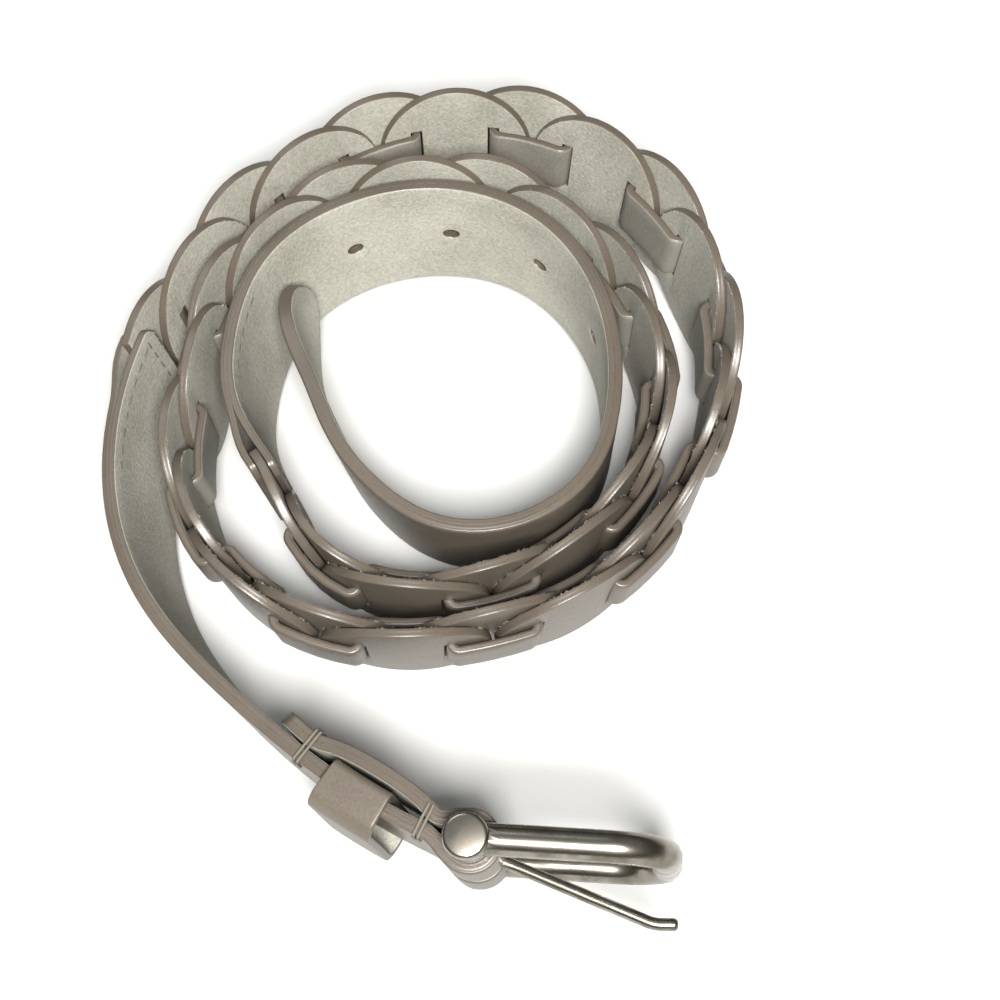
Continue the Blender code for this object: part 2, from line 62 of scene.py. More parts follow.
# Floor: one wide pale sheet of matt paper with nothing on it but the belt.
def linear(hex_colour):
    """Linear colour of an sRGB hex value."""
    parts = [int(hex_colour[place:place + 2], 16) / 255 for place in (1, 3, 5)]
    return [part / 12.92 if part <= 0.04045 else ((part + 0.055) / 1.055) ** 2.4
            for part in parts] + [1]


def add_node(tree, kind, values=None, **settings):
    """Adds one node with its settings, values and links."""
    made = tree.nodes.new(kind)
    for name, value in settings.items():
        setattr(made, name, value)
    for socket, value in (values or {}).items():
        if isinstance(value, bpy.types.NodeSocket):
            tree.links.new(value, made.inputs[socket])
        else:
            made.inputs[socket].default_value = value
    return made


FLOOR_LEVEL = -0.0003
bpy.ops.mesh.primitive_plane_add(size=6, location=(0, 0, FLOOR_LEVEL))
floor = bpy.context.object
floor.name = "floor"
paper = bpy.data.materials.new("matt_paper")
paper.use_nodes = True
paper_shader = paper.node_tree.nodes["Principled BSDF"]
paper_shader.inputs["Base Color"].default_value = linear("#b6b6b4")
paper_shader.inputs["Roughness"].default_value = 0.9
paper_shader.inputs["Specular IOR Level"].default_value = 0.2
floor.data.materials.append(paper)


# Light: a dim pale room with a bright ceiling, a big soft window high in front
# on the right and a weak cool one behind on the left.
world = bpy.data.worlds.new("pale_room")
bpy.context.scene.world = world
world.use_nodes = True
room = world.node_tree
way = add_node(room, "ShaderNodeSeparateXYZ",
               {"Vector": add_node(room, "ShaderNodeTexCoord").outputs["Generated"]})
walls = add_node(room, "ShaderNodeValToRGB", {"Fac": way.outputs["Z"]})
walls.color_ramp.elements[0].position = 0.15
walls.color_ramp.elements[0].color = (0.12, 0.11, 0.10, 1)
walls.color_ramp.elements[1].position = 0.75
walls.color_ramp.elements[1].color = (0.78, 0.78, 0.76, 1)
room.links.new(walls.outputs["Color"], room.nodes["Background"].inputs["Color"])
room.nodes["Background"].inputs["Strength"].default_value = 0.36
for name, place, size, power, colour in (
        ("window_light", (0.08, -0.64, 1.08), 0.35, 46.0, (1, 0.99, 0.975)),
        ("back_window", (-0.45, 0.60, 0.9), 0.6, 3.0, (0.88, 0.94, 1))):
    bpy.ops.object.light_add(type="AREA", location=place)
    lamp = bpy.context.object
    lamp.name = name
    lamp.data.size = size
    lamp.data.energy = power
    lamp.data.color = colour
    lamp.rotation_euler = (Vector(place) - COIL_CENTRE).to_track_quat("Z", "Y").to_euler()


# Discs: round pieces of vegetable-tanned leather in two staggered layers, each
# with two upright slits. Die-cut, then burnished round their edges; the grain
# faces out of the coil and the pale flesh side faces in.
DISC_RADIUS = 0.0147
DISC_THICKNESS = 0.0016
LAYER_GAP = 0.0003
PITCH = 0.030
CHAIN_START = 0.2415
INNER_DISCS = 18
END_DISC_REACH = 0.0055
SLIT_HEIGHT = 0.0108
SLIT_WIDTH = 0.0021
DISC_EDGE_ROUND = 0.0006
FIBRE_CLUMPS = 26
FIBRES_IN_CLUMP = 5
FIBRE_LENGTH = 0.0006
TIP_DIRECTION = 136
# How the belt is coiled: direction from the coil's centre in degrees, distance
# from it in mm, and how far the wall leans outwards there in degrees.
ROUTE = [
    (125, 37.0, 16), (150, 29.2, 10), (175, 22.1, 7), (200, 19.3, 9), (225, 20.0, 10),
    (250, 22.9, 10), (275, 27.6, 10), (300, 30.9, 8), (325, 32.2, 5), (350, 31.6, 2),
    (375, 32.2, 1), (400, 34.2, 3), (425, 36.4, 6), (450, 37.1, 9), (475, 37.2, 11),
    (500, 36.9, 14), (525, 34.8, 14), (550, 33.6, 12), (575, 32.4, 9), (600, 37.3, 10),
    (625, 38.5, 10), (650, 38.2, 9), (675, 38.3, 7), (700, 39.6, 5), (725, 40.2, 3),
    (750, 40.2, 2), (775, 41.5, 2), (800, 43.0, 2), (825, 43.5, 3), (850, 43.5, 4),
    (875, 43.3, 5), (900, 43.2, 7), (925, 47.6, 9), (950, 49.4, 10), (975, 48.2, 11),
    (1000, 46.3, 10), (1025, 46.6, 9), (1050, 47.6, 6), (1075, 50.0, 6), (1100, 54.0, 6),
    (1125, 56.8, 8), (1150, 58.2, 8), (1175, 56.0, 8), (1200, 52.0, 9), (1225, 49.8, 11),
    (1250, 50.3, 14), (1275, 54.8, 18), (1300, 61.6, 15), (1325, 68.7, 10), (1350, 83.5, 11),
    (1375, 103.6, 12),
]
# The belt lies on the floor and rises a little over the last stretch to the bar.
BAR_PLACE = 0.9046
LIFT_AT_BAR = 0.0048
RISE_LENGTH = 0.07


def smooth_curve(values, steps):
    """Natural cubic spline through evenly spaced values."""
    count = len(values)
    matrix = 4 * np.eye(count) + np.eye(count, k=1) + np.eye(count, k=-1)
    matrix[0, 0] = matrix[-1, -1] = 2
    slopes = np.linalg.solve(matrix, 3 * (np.append(values[1:], values[-1])
                                          - np.append(values[0], values[:-1])))
    first = np.clip(np.floor(steps).astype(int), 0, count - 2)
    t = steps - first
    low, high = values[first], values[first + 1]
    return (low * (1 + 2 * t) * (1 - t) ** 2 + high * t * t * (3 - 2 * t)
            + slopes[first] * t * (1 - t) ** 2 - slopes[first + 1] * t * t * (1 - t))


turns, radii, leans = (np.array(column, dtype=float) for column in zip(*ROUTE))
route_steps = np.linspace(0, len(ROUTE) - 1, (len(ROUTE) - 1) * 25 + 1)
turn = np.radians(turns[0] + 25 * route_steps)
route_x = smooth_curve(radii, route_steps) * np.cos(turn) / 1000
route_y = smooth_curve(radii, route_steps) * np.sin(turn) / 1000
route_lean = np.radians(smooth_curve(leans, route_steps))
route_along = np.append(0, np.cumsum(np.hypot(np.diff(route_x), np.diff(route_y))))
tip_along = float(np.interp(math.radians(TIP_DIRECTION), turn, route_along))


def wall_points(along, outward, height):
    """Places at lengths along the coiled belt, out of its wall and up it."""
    here = along + tip_along
    step = 0.0015
    heading = np.arctan2(np.interp(here + step, route_along, route_y)
                         - np.interp(here - step, route_along, route_y),
                         np.interp(here + step, route_along, route_x)
                         - np.interp(here - step, route_along, route_x))
    lean = np.interp(here, route_along, route_lean)
    rise = np.clip((along - BAR_PLACE + RISE_LENGTH) / RISE_LENGTH, 0, 1)
    lift = LIFT_AT_BAR * rise * rise * (3 - 2 * rise)
    side = height * np.sin(lean) + outward * np.cos(lean)
    up = (DISC_RADIUS + lift + height) * np.cos(lean) - outward * np.sin(lean)
    return np.stack([np.interp(here, route_along, route_x) + np.sin(heading) * side + COIL_CENTRE.x,
                     np.interp(here, route_along, route_y) - np.cos(heading) * side + COIL_CENTRE.y,
                     up + COIL_CENTRE.z], axis=1)


def lay_on_coil(piece, centre_line=None):
    """Bends a flat piece into the coil: its X runs along the belt, its Y out of
    the wall and its Z up. A centre line of (along, outward) points is followed
    first where one is given."""
    mesh = piece.data
    flat = np.empty(len(mesh.vertices) * 3)
    mesh.vertices.foreach_get("co", flat)
    along, outward, height = flat.reshape(-1, 3).T
    if centre_line is not None:
        line = np.array(centre_line)
        lengths = np.append(0, np.cumsum(np.linalg.norm(np.diff(line, axis=0), axis=1)))
        headings = np.gradient(line, lengths, axis=0)
        headings /= np.linalg.norm(headings, axis=1)[:, None]
        on_line = [np.interp(along, lengths, line[:, column]) for column in (0, 1)]
        aim = [np.interp(along, lengths, headings[:, column]) for column in (0, 1)]
        along, outward = on_line[0] - aim[1] * outward, on_line[1] + aim[0] * outward
    mesh.vertices.foreach_set("co", wall_points(along, outward, height).ravel())
    mesh.update()


def leather(name, deep, pale, fine_mm, depth_mm, rough, fine_tone_and_hollow_shade=0.5):
    """Leather whose tone wanders over 14 mm and again over its own fine texture, which also sets the bump,
    so that the colour is darker where the bump sinks: painted shade in the hollows.
    """
    made = bpy.data.materials.new(name)
    made.use_nodes = True
    tree = made.node_tree
    shader = tree.nodes["Principled BSDF"]
    place = add_node(tree, "ShaderNodeTexCoord").outputs["Object"]
    broad = add_node(tree, "ShaderNodeTexNoise", {"Vector": place, "Scale": 1 / 0.014, "Detail": 3})
    fine = add_node(tree, "ShaderNodeTexNoise",
                    {"Vector": place, "Scale": 1000 / fine_mm, "Detail": 6, "Roughness": 0.65})
    # The fine texture darkens the colour where it lowers the bump: painted shade in its hollows.
    tone = add_node(tree, "ShaderNodeMix", {"Factor": fine_tone_and_hollow_shade, "A": broad.outputs["Fac"],
                                            "B": fine.outputs["Fac"]}, data_type="FLOAT")
    ramp = add_node(tree, "ShaderNodeValToRGB", {"Fac": tone.outputs[0]})
    ramp.color_ramp.elements[0].position = 0.3
    ramp.color_ramp.elements[0].color = linear(deep)
    ramp.color_ramp.elements[1].position = 0.7
    ramp.color_ramp.elements[1].color = linear(pale)
    tree.links.new(ramp.outputs["Color"], shader.inputs["Base Color"])
    sheen = add_node(tree, "ShaderNodeMapRange", {"Value": fine.outputs["Fac"], "From Min": 0.3,
                                                  "From Max": 0.7, "To Min": rough - 0.07,
                                                  "To Max": rough + 0.07})
    tree.links.new(sheen.outputs["Result"], shader.inputs["Roughness"])
    bump = add_node(tree, "ShaderNodeBump", {"Strength": 0.6, "Distance": depth_mm / 1000,
                                             "Height": fine.outputs["Fac"]})
    tree.links.new(bump.outputs["Normal"], shader.inputs["Normal"])
    return made


# Drum-dyed full grain leather: smooth taupe with a soft low gloss
grain_leather = leather("full_grain_leather", "#4c453c", "#60584e", 0.5, 0.05, 0.4)
# Undyed flesh side: pale and matt, with short fibres; its colour is darker in the hollows of its bump,
# which is painted shade
flesh_leather = leather("flesh_side_leather", "#706d61", "#a2a196", 0.6, 0.3, 0.85, 0.6)
# Burnished cut edge: the fibres are glazed shut, so it is darker and glossier
edge_leather = leather("burnished_edge_leather", "#463f36", "#554d43", 0.4, 0.04, 0.36)
edge_tree = edge_leather.node_tree
across = add_node(edge_tree, "ShaderNodeAttribute", attribute_name="across")
lines = add_node(edge_tree, "ShaderNodeMath", {0: across.outputs["Fac"], 1: 12.6}, operation="MULTIPLY")
waves = add_node(edge_tree, "ShaderNodeMath", {0: lines.outputs[0]}, operation="COSINE")
grooves = add_node(edge_tree, "ShaderNodeBump", {"Strength": 0.12, "Distance": 0.0001,
                                                 "Height": waves.outputs[0]})
edge_tree.links.new(edge_tree.nodes["Bump"].outputs["Normal"], grooves.inputs["Normal"])
edge_tree.links.new(grooves.outputs["Normal"], edge_tree.nodes["Principled BSDF"].inputs["Normal"])


def dress_leather(piece, thickness, inner_side=flesh_leather):
    """Gives a flat leather piece its grain, flesh and edge, by where its faces look."""
    mesh = piece.data
    mesh.materials.clear()
    for surface in (grain_leather, inner_side, edge_leather):
        mesh.materials.append(surface)
    for face in mesh.polygons:
        face.material_index = 0 if face.normal.y > 0.8 else 1 if face.normal.y < -0.8 else 2
    depth = mesh.attributes.new("across", "FLOAT", "POINT")
    depth.data.foreach_set("value", [vertex.co.y / thickness + 0.5 for vertex in mesh.vertices])


def take_up(*pieces):
    """Selects these pieces alone, the last of them as the active one."""
    bpy.ops.object.select_all(action="DESELECT")
    for piece in pieces:
        piece.select_set(True)
    bpy.context.view_layer.objects.active = pieces[-1]


def finish_modifier(piece, kind, **settings):
    """Adds a modifier to the piece and applies it."""
    bpy.context.view_layer.objects.active = piece
    made = piece.modifiers.new(kind.lower(), kind)
    for name, value in settings.items():
        setattr(made, name, value)
    bpy.ops.object.modifier_apply(modifier=made.name)


def cut_away(piece, cutter):
    """Cuts a second solid out of the piece and throws the second one away."""
    finish_modifier(piece, "BOOLEAN", operation="DIFFERENCE", solver="EXACT", object=cutter)
    bpy.data.objects.remove(cutter)


def slice_across(piece, places):
    """Cuts new edges across the flat piece, so that it can bend there."""
    take_up(piece)
    bpy.ops.object.mode_set(mode="EDIT")
    for along in places:
        bpy.ops.mesh.select_all(action="SELECT")
        bpy.ops.mesh.bisect(plane_co=(along, 0, 0), plane_no=(1, 0, 0))
    bpy.ops.object.mode_set(mode="OBJECT")


def settle(piece, name, node, body="belt", angle=40):
    """Names the finished piece, smooths it and hands it to the frame."""
    take_up(piece)
    bpy.ops.object.shade_smooth_by_angle(angle=math.radians(angle))
    piece.name = name
    piece.data.name = name
    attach(piece, body)
    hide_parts(node)


def flat_disc(cut_side=0):
    """One flat disc at the origin, its faces along Y, slit for the lace. An end
    disc is cut off square on the side where a strap holds it."""
    bpy.ops.mesh.primitive_cylinder_add(vertices=96, radius=DISC_RADIUS, depth=DISC_THICKNESS,
                                        rotation=(math.pi / 2, 0, 0))
    made = bpy.context.object
    bpy.ops.object.transform_apply(location=False, rotation=True, scale=False)
    for side in (-1, 1):
        if side != cut_side:
            bpy.ops.mesh.primitive_cube_add(size=1, location=(side * PITCH / 4, 0, 0),
                                            scale=(SLIT_WIDTH, 0.01, SLIT_HEIGHT))
            cut_away(made, bpy.context.object)
    if cut_side:
        bpy.ops.mesh.primitive_cube_add(size=1, scale=(0.03, 0.01, 0.04),
                                        location=(cut_side * (END_DISC_REACH + 0.015), 0, 0))
        cut_away(made, bpy.context.object)
    finish_modifier(made, "BEVEL", width=DISC_EDGE_ROUND, segments=5, limit_method="ANGLE",
                    angle_limit=math.radians(50))
    slice_across(made, np.linspace(-0.0138, 0.0138, 19))
    return made


def strewn(name, small, places, surfaces):
    """One mesh of many copies of a small piece, which is used up, each copy under
    its own matrix."""
    shape = np.array([vertex.co[:] for vertex in small.data.vertices])
    faces = [list(face.vertices) for face in small.data.polygons]
    points = []
    polygons = []
    for number, matrix in enumerate(places):
        matrix = np.array(matrix)
        points.append(shape @ matrix[:3, :3].T + matrix[:3, 3])
        polygons += [[corner + number * len(shape) for corner in face] for face in faces]
    mesh = bpy.data.meshes.new(name)
    mesh.from_pydata(np.concatenate(points).tolist(), [], polygons)
    made = bpy.data.objects.new(name, mesh)
    bpy.context.scene.collection.objects.link(made)
    for surface in surfaces:
        mesh.materials.append(surface)
    bpy.data.objects.remove(small)
    return made


def raise_fibres(piece, seed):
    """Loose flesh fibres that the burnishing left standing round a disc's rim."""
    chance = np.random.default_rng(seed)
    bpy.ops.mesh.primitive_cone_add(vertices=3, radius1=0.00007, depth=FIBRE_LENGTH,
                                    location=(0, 0, FIBRE_LENGTH / 2))
    fibre = bpy.context.object
    bpy.ops.object.transform_apply(location=True, rotation=False, scale=False)
    places = []
    for clump in chance.uniform(0, math.pi, FIBRE_CLUMPS):
        for angle in clump + chance.normal(0, 0.03, FIBRES_IN_CLUMP):
            rim = Vector((math.cos(angle), 0, math.sin(angle)))
            stand = rim + Vector((chance.normal(0, 0.7), -0.6 - chance.random(), chance.normal(0, 0.5)))
            turn_up = stand.to_track_quat("Z", "Y").to_matrix().to_4x4()
            foot = rim * (DISC_RADIUS - 0.00025) - Vector((0, DISC_THICKNESS / 2 - 0.0002, 0))
            places.append(Matrix.Translation(foot) @ turn_up @ Matrix.Scale(chance.uniform(0.5, 1.2), 4))
    fuzz = strewn("fibres", fibre, places, piece.data.materials)
    fuzz.data.polygons.foreach_set("material_index", [1] * len(fuzz.data.polygons))
    take_up(fuzz, piece)
    bpy.ops.object.join()


whole_disc = flat_disc()
cut_discs = {side: flat_disc(side) for side in (-1, 1)}
for layer, count, offset, level in (("outer", INNER_DISCS + 1, 0, (LAYER_GAP + DISC_THICKNESS) / 2),
                                    ("inner", INNER_DISCS, 0.5, -(LAYER_GAP + DISC_THICKNESS) / 2)):
    for number in range(count):
        master = whole_disc
        if layer == "outer" and number in (0, INNER_DISCS):
            master = cut_discs[-1 if number == 0 else 1]
        disc = master.copy()
        disc.data = master.data.copy()
        bpy.context.scene.collection.objects.link(disc)
        dress_leather(disc, DISC_THICKNESS)
        if master == whole_disc:
            raise_fibres(disc, 100 * len(layer) + number + int(10 * offset))
        disc.data.transform(Matrix.Translation((CHAIN_START + (number + offset) * PITCH, level, 0)))
        lay_on_coil(disc)
        settle(disc, f"{layer}_leather_disc_{number + 1:02d}", f"{layer}_disc_{number + 1:02d}")
for master in (whole_disc, *cut_discs.values()):
    bpy.data.objects.remove(master)


# Lace: one flat strip of the same leather, dyed through, woven in and out of
# every slit. It turns on itself at each slit, and nothing else holds the discs.
LACE_HEIGHT = 0.0105
LACE_THICKNESS = 0.0016
LACE_BEND = 0.0016
LACE_CLEARANCE = 0.0003
LACE_EDGE_ROUND = 0.0006
DISC_FACE = LAYER_GAP / 2 + DISC_THICKNESS
LACE_LEVEL = DISC_FACE + LACE_CLEARANCE + LACE_THICKNESS / 2


def flat_strip(length, height, thickness, stations, rows=4):
    """Flat strip from X 0 to its length, square edged, with its cross sections at
    stations, which are shares of the length."""
    bpy.ops.mesh.primitive_grid_add(x_subdivisions=len(stations) - 1, y_subdivisions=rows, size=1,
                                    rotation=(math.pi / 2, 0, 0))
    made = bpy.context.object
    bpy.ops.object.transform_apply(location=False, rotation=True, scale=False)
    for vertex in made.data.vertices:
        column = round((vertex.co.x + 0.5) * (len(stations) - 1))
        vertex.co = (stations[column] * length, 0, vertex.co.z * height)
    finish_modifier(made, "SOLIDIFY", thickness=thickness, offset=0)
    return made


def round_edges(piece, width, sides=(-1, 1)):
    """Rounds the long edges of a flat strip on the named sides of its Y."""
    take_up(piece)
    bpy.ops.object.mode_set(mode="EDIT")
    bpy.ops.mesh.select_mode(type="EDGE")
    bpy.ops.mesh.select_all(action="DESELECT")
    bpy.ops.mesh.edges_select_sharp(sharpness=math.radians(60))
    bpy.ops.object.mode_set(mode="OBJECT")
    for edge in piece.data.edges:
        first, second = (piece.data.vertices[number].co.y for number in edge.vertices)
        edge.select = edge.select and any(first * side > 0 and second * side > 0 for side in sides)
    bpy.ops.object.mode_set(mode="EDIT")
    bpy.ops.mesh.bevel(offset=width, segments=4)
    bpy.ops.object.mode_set(mode="OBJECT")


# Lace flesh side: dyed through and rubbed smooth, so greyer and duller than the grain
lace_leather = leather("dyed_lace_leather", "#5a574e", "#7d7a72", 0.5, 0.08, 0.5)

lace_line = []
for crossing in range(2 * INNER_DISCS):
    slit = CHAIN_START + (crossing + 0.5) * PITCH / 2
    before = -LACE_LEVEL if crossing % 2 == 0 else LACE_LEVEL
    if crossing == 0:
        lace_line.append((slit, -DISC_FACE))
    else:
        for angle in np.linspace(0, math.pi / 2, 7):
            lace_line.append((slit - LACE_BEND * (1 - math.sin(angle)),
                              before * (1 - LACE_BEND / LACE_LEVEL * (1 - math.cos(angle)))))
    if crossing == 2 * INNER_DISCS - 1:
        lace_line.append((slit, -DISC_FACE))
        break
    for angle in np.linspace(math.pi / 2, 0, 7):
        lace_line.append((slit + LACE_BEND * (1 - math.sin(angle)),
                          -before * (1 - LACE_BEND / LACE_LEVEL * (1 - math.cos(angle)))))
    for share in (0.25, 0.5, 0.75):
        lace_line.append((slit + LACE_BEND + share * (PITCH / 2 - 2 * LACE_BEND), -before))
lace_lengths = np.append(0, np.cumsum(np.linalg.norm(np.diff(np.array(lace_line), axis=0), axis=1)))
lace = flat_strip(lace_lengths[-1], LACE_HEIGHT, LACE_THICKNESS, lace_lengths / lace_lengths[-1])
round_edges(lace, LACE_EDGE_ROUND)
dress_leather(lace, LACE_THICKNESS, lace_leather)
lay_on_coil(lace, lace_line)
settle(lace, "woven_lace", "lace")


# Strap with the holes: two plies of thinner leather glued and stitched flesh to
# flesh, cut to a rounded tip, with five punched oblong holes.
STRAP_WIDTH = 0.025
PLY_THICKNESS = 0.0012
PLY_GAP = 0.0002
PLY_LEVEL = (PLY_GAP + PLY_THICKNESS) / 2
GLUE_CLOSING = PLY_GAP / 2 - 0.00001
PLY_EDGE_ROUND = 0.00045
STEP_LENGTH = 0.010
TIP_LENGTH = 0.015
STRAP_CLEARANCE = 0.0003
OUTER_PLY_SHORTER = 0.001
HOLE_COUNT = 5
FIRST_HOLE = 0.1035
HOLE_SPACING = 0.019
HOLE_LENGTH = 0.003
HOLE_HEIGHT = 0.002


def ply_level(is_outer, beyond_disc, from_end):
    """Level of a ply, which clears the end disc that the two plies hold."""
    if not is_outer:
        share = np.clip(from_end / STEP_LENGTH, 0, 1)
        beside = -(LAYER_GAP + PLY_THICKNESS) / 2
        return beside + (-PLY_LEVEL - beside) * share
    share = np.clip(beyond_disc / STEP_LENGTH, 0, 1)
    over_disc = LAYER_GAP / 2 + DISC_THICKNESS + LAYER_GAP + PLY_THICKNESS / 2
    return over_disc + (PLY_LEVEL - over_disc) * share * share * (3 - 2 * share)


def ply_end_edge(distance):
    """Half width of a ply at a distance from its gently rounded chain end."""
    share = min(max(distance / 0.0025, 0), 1)
    return STRAP_WIDTH / 2 * math.sqrt(1 - 0.36 * (1 - share) ** 2)


def tip_edge(distance):
    """Half width of the strap at a distance from its rounded tip."""
    share = min(max(distance / TIP_LENGTH, 0.016), 1)
    return STRAP_WIDTH / 2 * math.sqrt(1 - (1 - share) ** 2) ** 1.15


def close_steps(length, ends=0.0025):
    """Shares of a length that crowd together at both of its ends."""
    crowd = ends * (1 - np.cos(np.linspace(0, math.pi / 2, 9)))
    middle = np.linspace(ends, length - ends, round(length / 0.0022))
    return np.concatenate([crowd[:-1], middle, (length - crowd[:-1])[::-1]]) / length


def flat_ply(stations, length, half_height):
    """Flat ply that is as high on each side of its middle as half_height says."""
    made = flat_strip(length, 2, PLY_THICKNESS + GLUE_CLOSING, stations, 8)
    for vertex in made.data.vertices:
        vertex.co.z *= half_height(vertex.co.x)
    return made


def finish_ply(ply, is_outer, edge_round, centre_line, name, node):
    """Rounds a ply's edges on its show side, presses it onto the glue and bends it
    along its centre line into the coil."""
    round_edges(ply, edge_round, (1,) if is_outer else (-1,))
    dress_leather(ply, PLY_THICKNESS)
    ply.data.transform(Matrix.Translation((0, (-0.5 if is_outer else 0.5) * GLUE_CLOSING, 0)))
    lay_on_coil(ply, centre_line)
    settle(ply, name, node)


for side, is_outer in (("outer", True), ("inner", False)):
    length = CHAIN_START - STRAP_CLEARANCE - (OUTER_PLY_SHORTER if is_outer else 0)
    tip_steps = TIP_LENGTH / length * (1 - np.cos(np.linspace(0.25, math.pi / 2, 14)))
    later = close_steps(length)
    steps = np.concatenate([[0], tip_steps, later[later > (TIP_LENGTH + 0.001) / length]])
    ply = flat_ply(steps, length, lambda along: min(tip_edge(along), ply_end_edge(length - along)))
    for hole in range(HOLE_COUNT):
        bpy.ops.mesh.primitive_cylinder_add(vertices=32, radius=1, depth=0.02, rotation=(math.pi / 2, 0, 0),
                                            location=(FIRST_HOLE + HOLE_SPACING * hole, 0, 0))
        cutter = bpy.context.object
        cutter.scale = (HOLE_LENGTH / 2, HOLE_HEIGHT / 2, 1)
        cut_away(ply, cutter)
    disc_end = CHAIN_START - END_DISC_REACH - LAYER_GAP
    strap_line = [(along, ply_level(is_outer, disc_end - along, length - along))
                  for along in np.linspace(0, length, 200)]
    finish_ply(ply, is_outer, PLY_EDGE_ROUND, strap_line,
               f"holed_strap_{side}_ply", f"billet_{side}_ply")


# Buckle strap: the same two plies, folded inwards round the buckle's bar and
# caught with thread, with a slot for the prong at the fold.
CHAIN_END = CHAIN_START + INNER_DISCS * PITCH
NEAR_TACK = 0.007
FAR_TACK = 0.030
FOLD_LENGTH = 0.038
FOLD_BULGE = 0.0023
BAR_RADIUS = 0.0025
BAR_CLEARANCE = 0.0003
PRONG_SLOT_HEIGHT = 0.0034
FOLDED_EDGE_ROUND = 0.0004
STRAIGHT_POINTS = 60
STRAP_THICKNESS = 2 * PLY_THICKNESS + PLY_GAP
wrap = BAR_RADIUS + BAR_CLEARANCE + STRAP_THICKNESS / 2
touch = STRAP_THICKNESS + LAYER_GAP
bar_level = -touch / 2


def eased(share):
    """Share that starts and stops gently."""
    return share * share * (3 - 2 * share)


fold_line = [(along, 0.0) for along in np.linspace(CHAIN_END, BAR_PLACE - NEAR_TACK, STRAIGHT_POINTS)]
for share in np.linspace(0.1, 0.72, 9):
    fold_line.append((BAR_PLACE - NEAR_TACK * (1 - share), (bar_level + wrap) * eased(share)))
for degrees in range(100, -101, -5):
    angle = math.radians(degrees)
    fold_line.append((BAR_PLACE + wrap * math.cos(angle), bar_level + wrap * math.sin(angle)))
for share in np.linspace(0.72, 0, 10):
    fold_line.append((BAR_PLACE - NEAR_TACK * (1 - share),
                      -touch + (bar_level - wrap + touch) * eased(share)))
for share in np.linspace(0.03, 1, 24):
    fold_line.append((BAR_PLACE - NEAR_TACK - share * (FAR_TACK - NEAR_TACK),
                      -touch - FOLD_BULGE * math.sin(math.pi * share) ** 0.5))
for share in np.linspace(0.1, 1, 8):
    fold_line.append((BAR_PLACE - FAR_TACK - share * (FOLD_LENGTH - FAR_TACK), -touch - 0.0005 * share))
fold_line = np.array(fold_line)
kernel = np.array([1, 2, 3, 2, 1]) / 9
for column in (0, 1):
    padded = np.pad(fold_line[:, column], 2, mode="edge")
    softened = np.convolve(padded, kernel, mode="valid")
    softened[:2], softened[-2:] = fold_line[:2, column], fold_line[-2:, column]
    fold_line[:, column] = softened
fold_headings = np.gradient(fold_line, axis=0)
fold_headings /= np.linalg.norm(fold_headings, axis=1)[:, None]
fold_normals = np.stack([-fold_headings[:, 1], fold_headings[:, 0]], axis=1)

for side, is_outer in (("outer", True), ("inner", False)):
    start = CHAIN_END + STRAP_CLEARANCE + (OUTER_PLY_SHORTER if is_outer else 0)
    centre = fold_line + fold_normals * (PLY_LEVEL if is_outer else -PLY_LEVEL)
    main = np.arange(len(centre)) < STRAIGHT_POINTS
    centre[main, 1] = ply_level(is_outer, centre[main, 0] - CHAIN_END - END_DISC_REACH - LAYER_GAP,
                                centre[main, 0] - start)
    centre = centre[~main | (centre[:, 0] > start + 0.0005)]
    centre = np.vstack([[start, centre[0, 1]], centre])
    lengths = np.append(0, np.cumsum(np.linalg.norm(np.diff(centre, axis=0), axis=1)))
    length = lengths[-1]
    ply = flat_ply(close_steps(length), length,
                   lambda along: min(ply_end_edge(along), ply_end_edge(length - along)))
    in_fold = lengths[np.abs(centre[:, 0] - BAR_PLACE) < NEAR_TACK * 0.82]
    bpy.ops.mesh.primitive_cube_add(size=1, location=((in_fold[0] + in_fold[-1]) / 2, 0, 0),
                                    scale=(in_fold[-1] - in_fold[0], 0.01, PRONG_SLOT_HEIGHT))
    cut_away(ply, bpy.context.object)
    slice_across(ply, np.arange(in_fold[0] - 0.002, in_fold[-1] + 0.002, 0.0005))
    finish_ply(ply, is_outer, FOLDED_EDGE_ROUND, centre,
               f"buckle_strap_{side}_leather", f"buckle_strap_{side}_ply")


# Stitching: linen thread dulled by wear. A row of short stitches crosses the
# chain end of each strap and runs on along its upper edge; two turns of thread
# close the fold on each side of the keeper.
waxed_thread = leather("waxed_linen_thread", "#454037", "#6b6558", 0.25, 0.06, 0.6)
STITCH_LENGTH = 0.0022
STITCH_SPACING = 0.0032
CROSS_ROW_BACK = 0.0031
CROSS_STITCHES = 6
THREAD_RADIUS = 0.00028
TURN_SPACING = 0.0008
# Where a turn of thread dives into a face: how deep it is sunk and how far below the top
THREAD_DIVE = ((0.0009, 0.0040), (0, 0.0034), (0, 0.0008), (0.0004, 0.0002))
for side, chain_end, way, count in (("billet", CHAIN_START, -1, 11), ("buckle_strap", CHAIN_END, 1, 8)):
    first = chain_end + way * CROSS_ROW_BACK
    bpy.ops.mesh.primitive_uv_sphere_add(segments=8, ring_count=6, radius=1,
                                         scale=(STITCH_LENGTH / 2, 0.0002, 0.0002))
    stitch = bpy.context.object
    bpy.ops.object.transform_apply(location=False, rotation=False, scale=True)
    places = []
    for row in range(CROSS_STITCHES):
        places.append((first, 0.0096 - row * STITCH_SPACING, 90))
    for row in range(count):
        places.append((first + way * (row + 0.5) * STITCH_SPACING, 0.0099, 0))
    rows = []
    for along, height, lean in places:
        from_end = abs(along - chain_end) - STRAP_CLEARANCE
        face = float(ply_level(False, 0, np.array(from_end))) - PLY_THICKNESS / 2
        rows.append(Matrix.Translation((along, face, height)) @ Matrix.Rotation(math.radians(lean), 4, "Y"))
    stitches = strewn("stitches", stitch, rows, [waxed_thread])
    lay_on_coil(stitches)
    settle(stitches, f"{side}_stitches", f"{side}_inner_ply")


